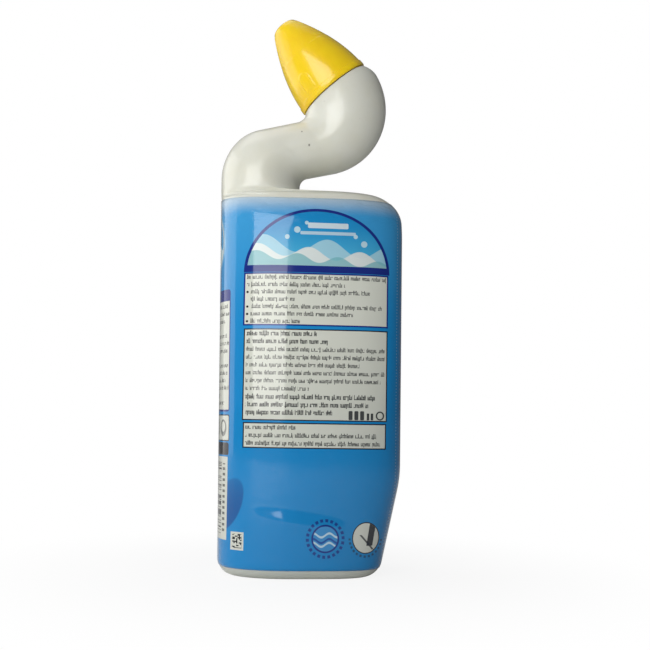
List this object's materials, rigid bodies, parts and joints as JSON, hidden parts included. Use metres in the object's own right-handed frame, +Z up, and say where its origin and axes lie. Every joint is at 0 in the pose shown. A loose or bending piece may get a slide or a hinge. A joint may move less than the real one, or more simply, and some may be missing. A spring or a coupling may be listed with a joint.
{
  "type": "toilet cleaner bottle",
  "caption": "Flat-sided toilet cleaner bottle with a bent duck neck, a printed blue shrink sleeve and a conical yellow squeeze-and-turn screw cap.",
  "frame": {"origin": "middle of the bottle's outline in plan, on the surface it stands on", "axes": "+Z up, X across the broad face with the cap pointing up and to -X, the pictured broad face looks to -Y"},
  "size_m": [0.0886, 0.06, 0.2728],
  "materials": {
    "bottle_plastic": "satin",
    "printed_film": "gloss",
    "gel": "gloss",
    "nozzle_plastic": "satin",
    "pad_foam": "matte",
    "cap_plastic": "gloss"
  },
  "bodies": {
    "filled_bottle": {"bottle": "bottle_plastic", "label_sleeve": "printed_film", "cleaning_gel": "gel", "nozzle_insert": "nozzle_plastic"},
    "lifting_pad": {"sealing_pad": "pad_foam"},
    "screw_cap": {"cap": "cap_plastic"}
  },
  "joints": [
    {"name": "cap_rise", "type": "slide", "parent": "filled_bottle", "child": "lifting_pad", "axis": [-0.6428, 0, 0.766], "range_m": [0, 0.005]},
    {"name": "cap_turn", "type": "hinge", "parent": "lifting_pad", "child": "screw_cap", "pos_m": [0.011, 0, 0.238], "axis": [-0.6428, 0, 0.766], "range_deg": [0, 450]}
  ],
  "couplings": [
    {"joint": "cap_rise", "follows": "cap_turn", "m_per_rad": 0.0006366}
  ]
}
